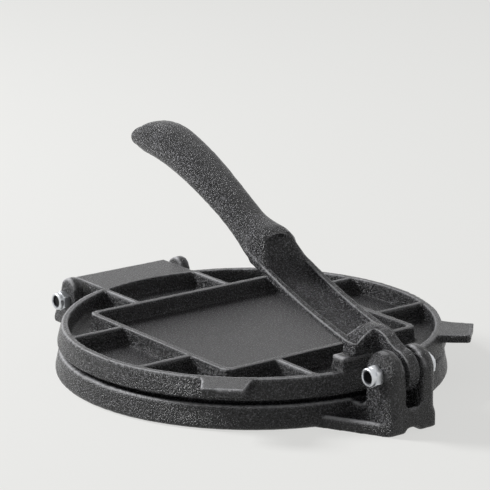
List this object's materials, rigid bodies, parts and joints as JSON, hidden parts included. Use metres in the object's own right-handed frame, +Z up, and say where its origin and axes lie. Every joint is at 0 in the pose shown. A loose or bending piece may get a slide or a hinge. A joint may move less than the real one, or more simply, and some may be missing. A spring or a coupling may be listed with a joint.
{
  "type": "tortilla press",
  "caption": "Cast-iron tortilla press: two ribbed round plates hinged at the back and a long handled lever that pivots in a front clevis and presses the lid down.",
  "frame": {"origin": "on the axis of the round plates, in the plane the base stands on", "axes": "+Z up; +X from the hinge bolt to the clevis that holds the lever; +Y along both bolts, towards their heads"},
  "size_m": [0.2676, 0.2104, 0.1202],
  "materials": {
    "base_iron": "oiled black sand casting, satin",
    "lid_iron": "oiled black sand casting, satin",
    "lever_iron": "oiled black sand casting, satin",
    "bolt_zinc": "bright zinc plating",
    "nut_zinc": "bright zinc plating",
    "insert_nylon": "plain nylon"
  },
  "bodies": {
    "base": {"base": "base_iron", "hinge_bolt": "bolt_zinc", "hinge_nut": "nut_zinc", "hinge_nut_insert": "insert_nylon", "lever_bolt": "bolt_zinc", "lever_nut": "nut_zinc", "lever_nut_insert": "insert_nylon"},
    "lid": {"lid": "lid_iron"},
    "lever": {"lever": "lever_iron"}
  },
  "joints": [
    {"name": "lever_pivot", "type": "hinge", "parent": "base", "child": "lever", "pos_m": [0.1223, 0, 0.03], "axis": [0, 1, 0], "range_deg": [0, 160]},
    {"name": "lid_hinge", "type": "hinge", "parent": "base", "child": "lid", "pos_m": [-0.121, 0, 0.0154], "axis": [0, -1, 0], "range_deg": [0, 17.6]}
  ],
  "couplings": [
    {"joint": "lid_hinge", "follows": "lever_pivot", "ratio": 0.11}
  ]
}
